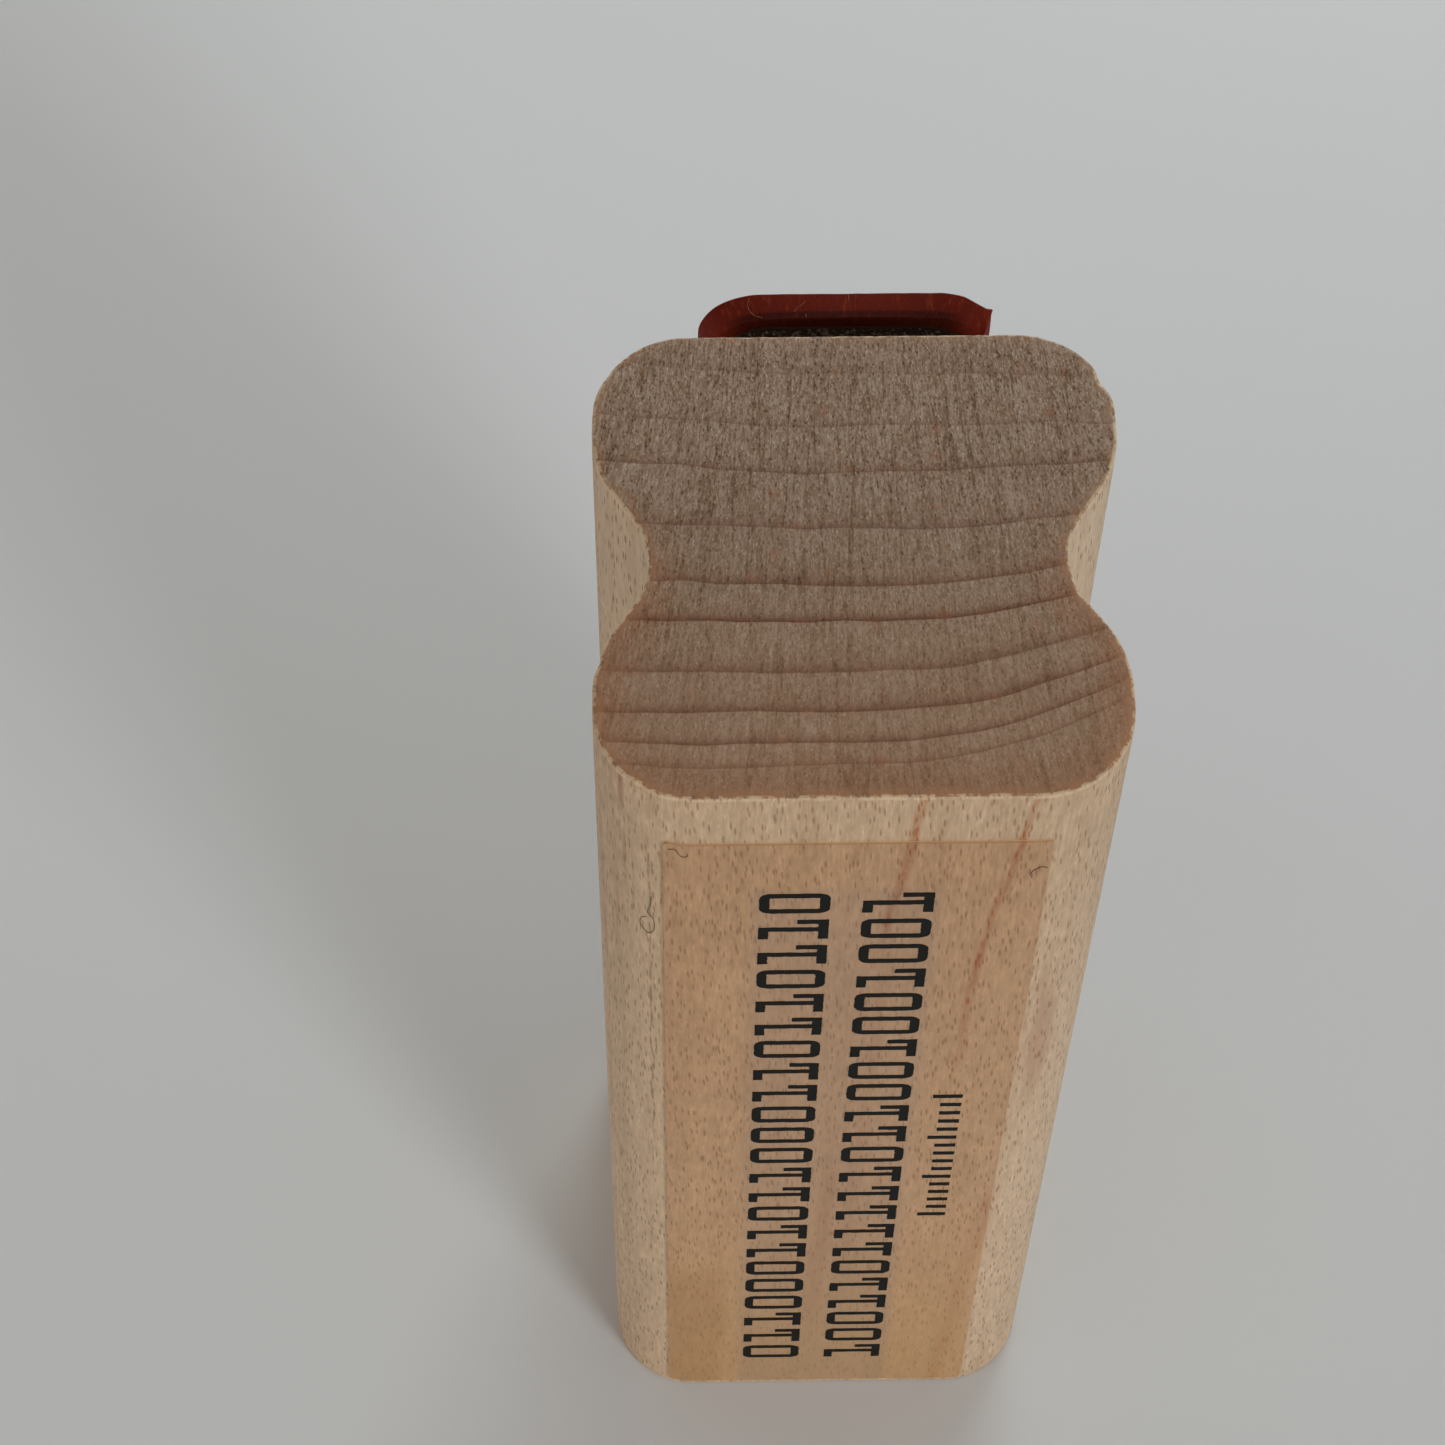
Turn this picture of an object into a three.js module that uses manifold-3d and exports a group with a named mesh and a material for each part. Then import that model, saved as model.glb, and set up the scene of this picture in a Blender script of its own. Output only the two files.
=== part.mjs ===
// A wood-mounted rubber stamp: a maple block with a finger groove down each side, a foam cushion and a
// moulded rubber die on its back, and a printed index label on its front.
//
// Millimetres. The block stands on one end: +Z runs up along its length, +Y points out of the die and -Y
// out of the label. The origin is the centre of the block's bottom end.

import * as THREE from 'three';
import { mergeVertices } from 'three/addons/utils/BufferGeometryUtils.js';
import Module from 'manifold-3d';

// ---------------------------------------------------------------- driving dimensions

const BLOCK = { width: 25.4, depth: 25.4, length: 82.5, cornerRadius: 4.7 };

// Each side dips to a rounded groove. A straight flank joins the groove to a rounded shoulder.
const GROOVE = {
  depth: 2.67,
  radius: 4,
  shoulderRadius: 6,
  flankAngle: THREE.MathUtils.degToRad(34),
};

// The label is a little wider than the flat of the block's front face.
const LABEL = {
  left: -9.4,
  right: 8.95,
  topGap: 4.55,
  bottomGap: 1,
  cornerRadius: 0.5,
  film: 0.1,
  adhesive: 0.05,
};

const CUSHION = { foam: 3, adhesive: 0.1, inset: 0.9, cornerRadius: 3 };

// The die is trimmed by hand: three corners are rounded and one is snipped off straight.
const DIE = {
  left: -7.45,
  right: 7.5,
  endGap: 3.25,
  sheet: 1.4,
  relief: 1.2,
  cornerRadius: 3.4,
  snipWidth: 2.7,
  snipHeight: 1.6,
};

// The digits stand one above the other in two columns and read upwards, with their tops towards -X.
const DIGITS = {
  rows: 23,
  pitch: 2.96,
  width: 2.3,
  height: 3.4,
  stroke: 0.45,
  cornerRadius: 0.55,
  tick: 1.5,
  columnCentres: [-3.11, 1.92],
};

const ARC_STEPS = 6;
const DIGIT_ARC_STEPS = 2;

const BACK_OF_BLOCK = BLOCK.depth / 2;
const DIE_BACK = BACK_OF_BLOCK + CUSHION.foam + 2 * CUSHION.adhesive;
const DIE_FRONT = DIE_BACK + DIE.sheet;

// ---------------------------------------------------------------- materials

function plainMaterial(color, roughness) {
  return new THREE.MeshStandardMaterial({ color, roughness, metalness: 0 });
}

const mapleWood = plainMaterial(0xa98c6d, 0.6);
const labelFilm = plainMaterial(0x9c7d60, 0.35);
const clearAdhesive = plainMaterial(0xb9a987, 0.5);
const darkFoam = plainMaterial(0x2b211c, 0.95);
const redRubber = plainMaterial(0x7a2418, 0.55);

// ---------------------------------------------------------------- outlines

// The block's section in X and Y. One half is listed, and a half turn gives the other.
function blockOutline() {
  const side = BLOCK.width / 2;
  const back = BLOCK.depth / 2;
  const turn = GROOVE.flankAngle;
  const grooveX = side - GROOVE.depth + GROOVE.radius;
  const shoulderX = side - GROOVE.shoulderRadius;
  const flankRun = shoulderX - grooveX + (GROOVE.shoulderRadius + GROOVE.radius) * Math.cos(turn);
  const flankRise = flankRun / Math.tan(turn);
  const shoulderY = flankRise + (GROOVE.shoulderRadius + GROOVE.radius) * Math.sin(turn);
  const cornerX = side - BLOCK.cornerRadius;
  const cornerY = back - BLOCK.cornerRadius;

  const halfOfArcs = [
    { x: grooveX, y: 0, radius: GROOVE.radius, from: Math.PI + turn, to: Math.PI - turn },
    { x: shoulderX, y: shoulderY, radius: GROOVE.shoulderRadius, from: -turn, to: 0 },
    { x: cornerX, y: cornerY, radius: BLOCK.cornerRadius, from: 0, to: Math.PI / 2 },
    { x: -cornerX, y: cornerY, radius: BLOCK.cornerRadius, from: Math.PI / 2, to: Math.PI },
    { x: -shoulderX, y: shoulderY, radius: GROOVE.shoulderRadius, from: Math.PI, to: Math.PI + turn },
  ];

  const outline = new THREE.Shape();
  for (const halfTurns of [0, 1]) {
    const sign = halfTurns === 0 ? 1 : -1;
    const spin = halfTurns * Math.PI;
    for (const arc of halfOfArcs) {
      const clockwise = arc.to < arc.from;
      outline.absarc(sign * arc.x, sign * arc.y, arc.radius, arc.from + spin, arc.to + spin, clockwise);
    }
  }
  return outline;
}

function roundedRectangle(left, bottom, right, top, radius, path = new THREE.Shape()) {
  path.absarc(right - radius, bottom + radius, radius, -Math.PI / 2, 0, false);
  path.absarc(right - radius, top - radius, radius, 0, Math.PI / 2, false);
  path.absarc(left + radius, top - radius, radius, Math.PI / 2, Math.PI, false);
  path.absarc(left + radius, bottom + radius, radius, Math.PI, 1.5 * Math.PI, false);
  path.closePath();
  return path;
}

// The trimmed rubber sheet in X and Z, with its snipped corner at the top right.
function dieOutline() {
  const { left, right, cornerRadius: radius } = DIE;
  const bottom = DIE.endGap;
  const top = BLOCK.length - DIE.endGap;
  const outline = new THREE.Shape();
  outline.absarc(right - radius, bottom + radius, radius, -Math.PI / 2, 0, false);
  outline.lineTo(right, top - DIE.snipHeight);
  outline.lineTo(right - DIE.snipWidth, top);
  outline.absarc(left + radius, top - radius, radius, Math.PI / 2, Math.PI, false);
  outline.absarc(left + radius, bottom + radius, radius, Math.PI, 1.5 * Math.PI, false);
  outline.closePath();
  return outline;
}

function cushionOutline() {
  return roundedRectangle(
    DIE.left + CUSHION.inset,
    DIE.endGap + CUSHION.inset,
    DIE.right - CUSHION.inset,
    BLOCK.length - DIE.endGap - CUSHION.inset,
    CUSHION.cornerRadius,
  );
}

function labelOutline() {
  const top = BLOCK.length - LABEL.topGap;
  return roundedRectangle(LABEL.left, LABEL.bottomGap, LABEL.right, top, LABEL.cornerRadius);
}

// ---------------------------------------------------------------- digits

// A made-up pattern of noughts and ones, worked out from the digit's place.
function digitAt(row, column) {
  return ((7 * row * row + 2 * row + 5 * column) % 19) % 2;
}

// Both digits are drawn upright around their own centre. The nought is a rounded ring.
function noughtOutline() {
  const { width, height, stroke, cornerRadius } = DIGITS;
  const halfWidth = width / 2;
  const halfHeight = height / 2;
  const outline = roundedRectangle(-halfWidth, -halfHeight, halfWidth, halfHeight, cornerRadius);
  const hole = roundedRectangle(
    stroke - halfWidth,
    stroke - halfHeight,
    halfWidth - stroke,
    halfHeight - stroke,
    cornerRadius - stroke,
    new THREE.Path(),
  );
  outline.holes.push(hole);
  return outline;
}

// The one has a flag to the left of its stem, and a wide foot that turns up at its right end.
function oneOutline() {
  const { width, height, stroke, tick } = DIGITS;
  const right = width / 2;
  const left = -right;
  const top = height / 2;
  const bottom = -top;
  const stem = stroke / 2;
  const corners = [
    [left, bottom],
    [right, bottom],
    [right, bottom + tick],
    [right - stroke, bottom + tick],
    [right - stroke, bottom + stroke],
    [stem, bottom + stroke],
    [stem, top],
    [left, top],
    [left, top - stroke],
    [-stem, top - stroke],
    [-stem, bottom + stroke],
    [left, bottom + stroke],
  ];
  return new THREE.Shape(corners.map(([x, y]) => new THREE.Vector2(x, y)));
}

// ---------------------------------------------------------------- solids

// Extrudes an outline drawn in X and Z along +Y, from yLow through a thickness.
function plateAlongY(outline, yLow, thickness, arcSteps = ARC_STEPS) {
  const options = { depth: thickness, bevelEnabled: false, curveSegments: arcSteps };
  const geometry = new THREE.ExtrudeGeometry(outline, options);
  geometry.rotateX(Math.PI / 2);
  geometry.translate(0, yLow + thickness, 0);
  return geometry;
}

function solidFrom(wasm, geometry) {
  const bare = geometry.clone();
  bare.deleteAttribute('normal');
  bare.deleteAttribute('uv');
  const merged = mergeVertices(bare, 1e-4);
  const mesh = new wasm.Mesh({
    numProp: 3,
    vertProperties: new Float32Array(merged.attributes.position.array),
    triVerts: new Uint32Array(merged.index.array),
  });
  return new wasm.Manifold(mesh);
}

function geometryFrom(solid) {
  const mesh = solid.getMesh();
  const geometry = new THREE.BufferGeometry();
  geometry.setAttribute('position', new THREE.BufferAttribute(mesh.vertProperties, 3));
  geometry.setIndex(new THREE.BufferAttribute(mesh.triVerts, 1));
  geometry.computeVertexNormals();
  return geometry;
}

// Turns an upright digit on its side, so that it reads upwards, and moves it to its place.
function digitGeometry(row, column, yLow, thickness) {
  const outline = digitAt(row, column) === 0 ? noughtOutline() : oneOutline();
  const geometry = plateAlongY(outline, yLow, thickness, DIGIT_ARC_STEPS);
  const centreZ = BLOCK.length / 2 + (row - (DIGITS.rows - 1) / 2) * DIGITS.pitch;
  geometry.rotateY(-Math.PI / 2);
  geometry.translate(DIGITS.columnCentres[column], 0, centreZ);
  return geometry;
}

// The trimmed sheet with its raised digits is one moulding.
function dieGeometry(wasm) {
  const root = DIE.sheet / 2;
  let die = solidFrom(wasm, plateAlongY(dieOutline(), DIE_BACK, DIE.sheet));
  for (const column of DIGITS.columnCentres.keys()) {
    for (let row = 0; row < DIGITS.rows; row += 1) {
      const digit = digitGeometry(row, column, DIE_FRONT - root, DIE.relief + root);
      die = die.add(solidFrom(wasm, digit));
    }
  }
  return geometryFrom(die);
}

function blockGeometry() {
  const options = { depth: BLOCK.length, bevelEnabled: false, curveSegments: ARC_STEPS };
  return new THREE.ExtrudeGeometry(blockOutline(), options);
}

// ---------------------------------------------------------------- the stamp

function part(name, geometry, material) {
  const mesh = new THREE.Mesh(geometry, material);
  mesh.name = name;
  return mesh;
}

function labelParts() {
  const front = -BLOCK.depth / 2;
  const adhesiveFront = front - LABEL.adhesive;
  const adhesive = plateAlongY(labelOutline(), adhesiveFront, LABEL.adhesive);
  const film = plateAlongY(labelOutline(), adhesiveFront - LABEL.film, LABEL.film);
  return [
    part('label_adhesive_film', adhesive, clearAdhesive),
    part('label_film', film, labelFilm),
  ];
}

function cushionParts() {
  const foamBack = BACK_OF_BLOCK + CUSHION.adhesive;
  const foamFront = foamBack + CUSHION.foam;
  const blockAdhesive = plateAlongY(cushionOutline(), BACK_OF_BLOCK, CUSHION.adhesive);
  const foam = plateAlongY(cushionOutline(), foamBack, CUSHION.foam);
  const dieAdhesive = plateAlongY(cushionOutline(), foamFront, CUSHION.adhesive);
  return [
    part('block_adhesive_film', blockAdhesive, clearAdhesive),
    part('foam_cushion', foam, darkFoam),
    part('die_adhesive_film', dieAdhesive, clearAdhesive),
  ];
}

const wasm = await Module();
wasm.setup();

const stamp = new THREE.Group();
stamp.add(part('wood_block', blockGeometry(), mapleWood));
stamp.add(...labelParts());
stamp.add(...cushionParts());
stamp.add(part('rubber_die', dieGeometry(wasm), redRubber));

export default stamp;
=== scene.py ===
import math

import bpy
from mathutils import Matrix, Vector, noise


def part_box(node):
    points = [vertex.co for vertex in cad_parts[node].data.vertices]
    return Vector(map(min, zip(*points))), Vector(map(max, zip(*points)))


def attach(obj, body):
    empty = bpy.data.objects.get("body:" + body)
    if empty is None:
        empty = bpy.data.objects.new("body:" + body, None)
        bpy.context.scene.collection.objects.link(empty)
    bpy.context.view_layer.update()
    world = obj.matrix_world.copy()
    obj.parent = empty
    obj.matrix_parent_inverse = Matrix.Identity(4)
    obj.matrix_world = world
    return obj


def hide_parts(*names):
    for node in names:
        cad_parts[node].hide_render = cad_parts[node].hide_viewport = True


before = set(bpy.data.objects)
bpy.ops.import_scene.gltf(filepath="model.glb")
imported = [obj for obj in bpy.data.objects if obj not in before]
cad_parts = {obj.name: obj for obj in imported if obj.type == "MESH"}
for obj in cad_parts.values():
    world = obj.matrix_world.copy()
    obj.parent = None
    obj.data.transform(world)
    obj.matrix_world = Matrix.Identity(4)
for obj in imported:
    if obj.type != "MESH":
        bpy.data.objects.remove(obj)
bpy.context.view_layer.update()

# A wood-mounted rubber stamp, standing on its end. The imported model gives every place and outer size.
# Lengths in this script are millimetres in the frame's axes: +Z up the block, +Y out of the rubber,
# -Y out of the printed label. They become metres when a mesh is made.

MM = 0.001

# Without a seed, noise_vector starts from the time of day.
noise.seed_set(1)


def node_box(node):
    """The lowest and highest corners of a CAD node, in millimetres."""
    low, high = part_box(node)
    return low / MM, high / MM


BLOCK_LOW, BLOCK_HIGH = node_box("wood_block")
LABEL_LOW, LABEL_HIGH = node_box("label_film")
GLUE_LOW, GLUE_HIGH = node_box("label_adhesive_film")
FOAM_LOW, FOAM_HIGH = node_box("foam_cushion")
DIE_LOW, DIE_HIGH = node_box("rubber_die")
TOP = BLOCK_HIGH.z

# The block's section.
CORNER_RADIUS = 4.7
GROOVE_DEPTH = 2.67
GROOVE_RADIUS = 4.0
SHOULDER_RADIUS = 6.0
FLANK_ANGLE = math.radians(34)
END_EDGE_RADIUS = 0.22
EDGE_ATTRIBUTE = "edge_distance"

# The rubber.
RELIEF = 1.2
SHEET_FRONT = DIE_HIGH.y - RELIEF
DIE_CORNER_RADIUS = 3.4
SNIP_WIDTH = 2.7
SNIP_HEIGHT = 1.6
FOAM_CORNER_RADIUS = 3.0

# The digits, on the label and on the rubber alike.
DIGIT_ROWS = 23
DIGIT_PITCH = 2.96
DIGIT_WIDTH = 2.3
DIGIT_HEIGHT = 3.4
DIGIT_STROKE = 0.45
DIGIT_CORNER_RADIUS = 0.55
DIGIT_TICK = 1.5
COLUMN_CENTRES = (-3.11, 1.92)

# The print: its middle's height, how much narrower its digits are than the rubber's, the length of the
# parts that their sides divide into, how far those stray, and the ink's thickness and bleed.
PRINT_CENTRE = TOP - 43.5
PRINT_SQUEEZE = 0.93
PRINT_STEP = 0.14
PRINT_JITTER = 0.035
INK_THICKNESS = 0.02
INK_SPREAD = 0.025

LABEL_CORNER_RADIUS = 0.3
LABEL_FRONT_OFFSET = BLOCK_LOW.y - LABEL_LOW.y


# ---- shader graphs


def linear_colour(red, green, blue):
    """A display colour, with levels of 0 to 255, as the linear colour that a shader takes."""
    def linear(level):
        share = level / 255
        return share / 12.92 if share <= 0.04045 else ((share + 0.055) / 1.055) ** 2.4
    return (linear(red), linear(green), linear(blue), 1.0)


class Value:
    """A number in a shader, so that a formula can be written plainly."""

    def __init__(self, graph, socket):
        self.graph = graph
        self.socket = socket

    def __add__(self, other):
        return self.graph.math("ADD", self, other)

    def __sub__(self, other):
        return self.graph.math("SUBTRACT", self, other)

    def __rsub__(self, other):
        return self.graph.math("SUBTRACT", other, self)

    def __mul__(self, other):
        return self.graph.math("MULTIPLY", self, other)

    def __truediv__(self, other):
        return self.graph.math("DIVIDE", self, other)

    def __pow__(self, power):
        return self.graph.math("POWER", self, power)

    def __abs__(self):
        return self.graph.math("ABSOLUTE", self, 0.0)

    __radd__ = __add__
    __rmul__ = __mul__


class Graph:
    """One material's nodes. Most calls add nodes and return what comes out of them."""

    def __init__(self, name):
        self.material = bpy.data.materials.new(name)
        self.material.use_nodes = True
        self.tree = self.material.node_tree
        self.shader = self.tree.nodes["Principled BSDF"]

    def feed(self, socket, value):
        """Links a node's result to a socket, or sets it to a number or a (red, green, blue) colour."""
        if isinstance(value, Value):
            value = value.socket
        if isinstance(value, bpy.types.NodeSocket):
            self.tree.links.new(value, socket)
        else:
            socket.default_value = linear_colour(*value) if isinstance(value, tuple) else value

    def node(self, kind, **settings):
        made = self.tree.nodes.new(kind)
        for name, setting in settings.items():
            setattr(made, name, setting)
        return made

    def math(self, operation, first, second):
        made = self.node("ShaderNodeMath", operation=operation)
        self.feed(made.inputs[0], first)
        self.feed(made.inputs[1], second)
        return Value(self, made.outputs[0])

    def place(self):
        """The point being shaded, in millimetres, as x, y and z."""
        where = self.node("ShaderNodeTexCoord").outputs["Object"]
        parts = self.node("ShaderNodeSeparateXYZ")
        self.feed(parts.inputs[0], where)
        return [Value(self, out) * (1 / MM) for out in parts.outputs]

    def vector(self, x, y, z):
        made = self.node("ShaderNodeCombineXYZ")
        for socket, value in zip(made.inputs, (x, y, z)):
            self.feed(socket, value)
        return made.outputs[0]

    def noise(self, point, detail=2.0, roughness=0.5):
        """Smooth noise around 0.5 at an (x, y, z) point, with a feature about one unit wide."""
        made = self.node("ShaderNodeTexNoise")
        self.feed(made.inputs["Vector"], self.vector(*point))
        made.inputs["Scale"].default_value = 1.0
        made.inputs["Detail"].default_value = detail
        made.inputs["Roughness"].default_value = roughness
        return Value(self, made.outputs[0])

    def cells(self, point):
        """Distance from an (x, y, z) point to the nearest of many scattered ones, about one unit apart."""
        made = self.node("ShaderNodeTexVoronoi")
        self.feed(made.inputs["Vector"], self.vector(*point))
        made.inputs["Scale"].default_value = 1.0
        return Value(self, made.outputs["Distance"])

    def fade(self, value, start, end):
        """0 where value is at start, 1 where it is at end, and smooth between."""
        made = self.node("ShaderNodeMapRange", interpolation_type="SMOOTHSTEP")
        self.feed(made.inputs["Value"], value)
        ends = (start, end, 0.0, 1.0) if start < end else (end, start, 1.0, 0.0)
        for name, number in zip(("From Min", "From Max", "To Min", "To Max"), ends):
            made.inputs[name].default_value = number
        return Value(self, made.outputs[0])

    def steps(self, value, stops, interpolation="LINEAR"):
        """A ramp through (place from 0 to 1, level) stops."""
        made = self.node("ShaderNodeValToRGB")
        self.feed(made.inputs[0], value)
        made.color_ramp.interpolation = interpolation
        elements = made.color_ramp.elements
        for index, (place, level) in enumerate(stops):
            stop = elements[index] if index < 2 else elements.new(place)
            stop.position = place
            stop.color = (level, level, level, 1.0)
        return Value(self, made.outputs[0])

    def mix(self, share, first, second, blend="MIX"):
        """Two colours mixed. The node's colour sockets are inputs 6 and 7 and output 2."""
        made = self.node("ShaderNodeMix", data_type="RGBA", blend_type=blend)
        self.feed(made.inputs[0], share)
        self.feed(made.inputs[6], first)
        self.feed(made.inputs[7], second)
        return made.outputs[2]

    def brighten(self, base, amount, warmth=0.0):
        """The colour times an amount. With warmth, the darker it gets the browner it is."""
        if warmth:
            factors = self.vector(amount, amount ** (1 + warmth * 0.4), amount ** (1 + warmth))
        else:
            factors = self.vector(amount, amount, amount)
        return self.mix(1.0, base, factors, "MULTIPLY")

    def attribute(self, name):
        made = self.node("ShaderNodeAttribute", attribute_name=name)
        return Value(self, made.outputs["Fac"])

    def normal(self):
        """The way the surface faces, as x, y and z."""
        parts = self.node("ShaderNodeSeparateXYZ")
        self.feed(parts.inputs[0], self.node("ShaderNodeNewGeometry").outputs["Normal"])
        return [Value(self, out) for out in parts.outputs]

    def finish(self, base, roughness, height=None, depth_mm=0.02, specular=0.5):
        """Sets the shader's colour, roughness and bump, and returns the material."""
        self.feed(self.shader.inputs["Base Color"], base)
        self.feed(self.shader.inputs["Roughness"], roughness)
        self.shader.inputs["Specular IOR Level"].default_value = specular
        if height is not None:
            bump = self.node("ShaderNodeBump")
            bump.inputs["Strength"].default_value = 1.0
            bump.inputs["Distance"].default_value = depth_mm * MM
            self.feed(bump.inputs["Height"], height)
            self.feed(self.shader.inputs["Normal"], bump.outputs[0])
        return self.material


# ---- maple

# Each growth ring: where it ends, in y along the middle of the end face, how dark the line there is,
# and how much the wood darkens on the way to it.
RINGS = (
    (10.4, 0.4, 0.1), (7.3, 0.75, 0.15), (4.75, 0.95, 0.45), (1.6, 0.8, 0.35), (-1.5, 1.0, 0.75),
    (-3.4, 1.0, 1.0), (-6.2, 0.7, 0.7), (-8.25, 0.8, 0.8), (-9.9, 0.8, 0.8), (-11.1, 0.6, 0.7),
)
# The rings' ramps run over this many millimetres of y, and each drops back to 0 within this share of it.
RING_SPAN = 30.0
RING_GAP = 0.0006
# How far the rings rise towards the block's left and right sides, and how much closer they run there.
RING_RISE = (0.6, 1.35)
RING_CROWDING = (-0.04, 0.17)

# Orange mineral streaks down the front: x at the top, drift in x per mm down, half width, first and
# last distance below the top, strength.
STREAKS = (
    (2.7, -0.085, 0.18, -1, 14, 1.35),
    (2.0, -0.02, 0.3, 18, 60, 0.3),
    (7.95, -0.1, 0.14, -1, 18, 1.0),
    (6.7, -0.03, 0.18, 16, 30, 0.7),
    (0.6, -0.02, 0.4, 46, 68, 0.5),
    (11.6, -0.055, 0.4, 50, 82, 0.55),
)

# Reddish stains on the front: x, distance below the top, half width, half height and strength.
STAINS = (
    (10.1, 30.0, 0.8, 8.0, 0.6),
    (9.7, 22.0, 0.4, 3.0, 0.3),
    (-11.4, 1.5, 0.16, 2.6, 0.8),
    (-11.3, 8.0, 0.1, 3.0, 0.6),
)



def ring_place(graph, x, y, z):
    """Which y of the middle a point belongs to, once the sag of the growth rings is taken out."""
    wobble = graph.noise((x * 0.16, y * 0.16, z * 0.03), 2.0)
    lifted = y
    spread = 1.0
    for side, rise, crowding in zip(("MINIMUM", "MAXIMUM"), RING_RISE, RING_CROWDING):
        share = graph.math(side, x, 0.0) / 12.0
        lifted = lifted - share * share * rise
        spread = spread - share * share * crowding
    return lifted / spread + (wobble - 0.5) * 0.8


def growth_rings(graph, ring, sharpness):
    """How dark a point is as part of its ring's last line, and as part of the wood before that line."""
    share = 0.5 - ring / RING_SPAN
    through = [(0.0, 0.0)]
    lines = [(0.0, RINGS[0][1])]
    shades = [(0.0, RINGS[0][2])]
    for index, (place, _, _) in enumerate(RINGS):
        end = 0.5 - place / RING_SPAN
        through.append((end, 1.0))
        through.append((end + RING_GAP, 0.0))
        _, next_line, next_shade = RINGS[min(index + 1, len(RINGS) - 1)]
        lines.append((end + RING_GAP, next_line))
        shades.append((end + RING_GAP, next_shade))
    progress = graph.steps(share, through)
    line = (progress ** sharpness) * graph.steps(share, lines, "CONSTANT")
    shade = (progress ** 4.0) * graph.steps(share, shades, "CONSTANT")
    return line, shade


def ray_flecks(graph, x, y, z):
    """The wood rays seen on the sides: dark dashes about 1 mm long and 0.1 mm wide."""
    drift = graph.noise((x * 0.3, y * 0.3, z * 0.08), 1.0)
    slant = x + z * 0.04 + drift * 0.6
    dashes = graph.cells((slant * 4.8, (y + z * 0.03) * 4.8, z * 0.62))
    return graph.fade(dashes, 0.36, 0.14)


def streak_amount(graph, x, y, below_top, broken):
    """How strongly the mineral streaks colour the front."""
    wander = graph.noise((0.0, 0.0, below_top * 0.12))
    total = 0.0
    for start, drift, half_width, first, last, strength in STREAKS:
        middle = below_top * drift + wander + (start - 0.5)
        across = graph.fade(abs(x - middle), half_width * 2.0, half_width * 0.2)
        along = graph.fade(below_top, first - 2, first + 2) * graph.fade(below_top, last + 6, last - 3)
        total = across * along * strength + total
    return total * graph.fade(y, -9.5, -11.5) * (broken * 0.8 + 0.35)


def stain_amount(graph, x, y, below_top, broken):
    """How strongly the reddish stains colour the front."""
    total = 0.0
    for middle_x, middle_z, half_width, half_height, strength in STAINS:
        across = (x - middle_x) / half_width
        along = (below_top - middle_z) / half_height
        nearness = graph.fade(across * across + along * along, 1.3, 0.0)
        total = nearness * strength + total
    return total * graph.fade(y, -7.0, -8.5) * broken


def dirt_amount(graph, x, y, below_top):
    """A thin broken line of dirt down the front left corner."""
    wander = graph.noise((0.0, 1.0, below_top * 0.3), 1.0)
    thin = graph.fade(abs(x + 10.4 - wander * 0.5), 0.09, 0.02)
    span = graph.fade(below_top, 4, 7) * graph.fade(below_top, 46, 36)
    gaps = graph.fade(graph.noise((0.0, 5.0, below_top * 0.9), 2.0), 0.3, 0.6)
    return thin * span * gaps * graph.fade(y, -7.0, -8.5)


def ring_colours(graph, y, patches, line, shade):
    """Pale wood that browns towards each ring's dark last line, and is greyer on the rubber's side."""
    greyer = graph.fade(y + patches * 6.0, -9.0, 6.0)
    pale = graph.mix(greyer, (157, 125, 98), (148, 122, 99))
    brown = graph.mix(greyer, (126, 80, 50), (118, 78, 52))
    base = graph.mix(shade * 0.9, pale, brown)
    return graph.mix(line * 0.8, base, (92, 50, 28))


def end_speckle(graph, x, y, z, strokes):
    """The cut fibres' fine speckle around 0: light strokes and glints, and dark pores."""
    pores = graph.fade(graph.cells((x * 5.6, y * 3.4, z * 5.0)), 0.42, 0.12)
    glints = graph.fade(graph.cells((x * 6.2 + 40.0, y * 3.2, z * 5.0)), 0.3, 0.08)
    return (graph.fade(strokes, 0.3, 0.7) - 0.5) * 0.72 + glints * 0.6 - pores * 0.4


def end_rays(graph, across, ring, z):
    """The wood rays that cross the rings: soft bands around 0.5, and how strong the thin dark lines are."""
    bands = graph.noise((across * 3.6, ring * 0.22, z), 2.0, 0.65)
    thin = graph.noise((across * 1.5, ring * 0.1, z), 1.0)
    return bands, graph.fade(abs(thin - 0.5), 0.035, 0.0)


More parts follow.
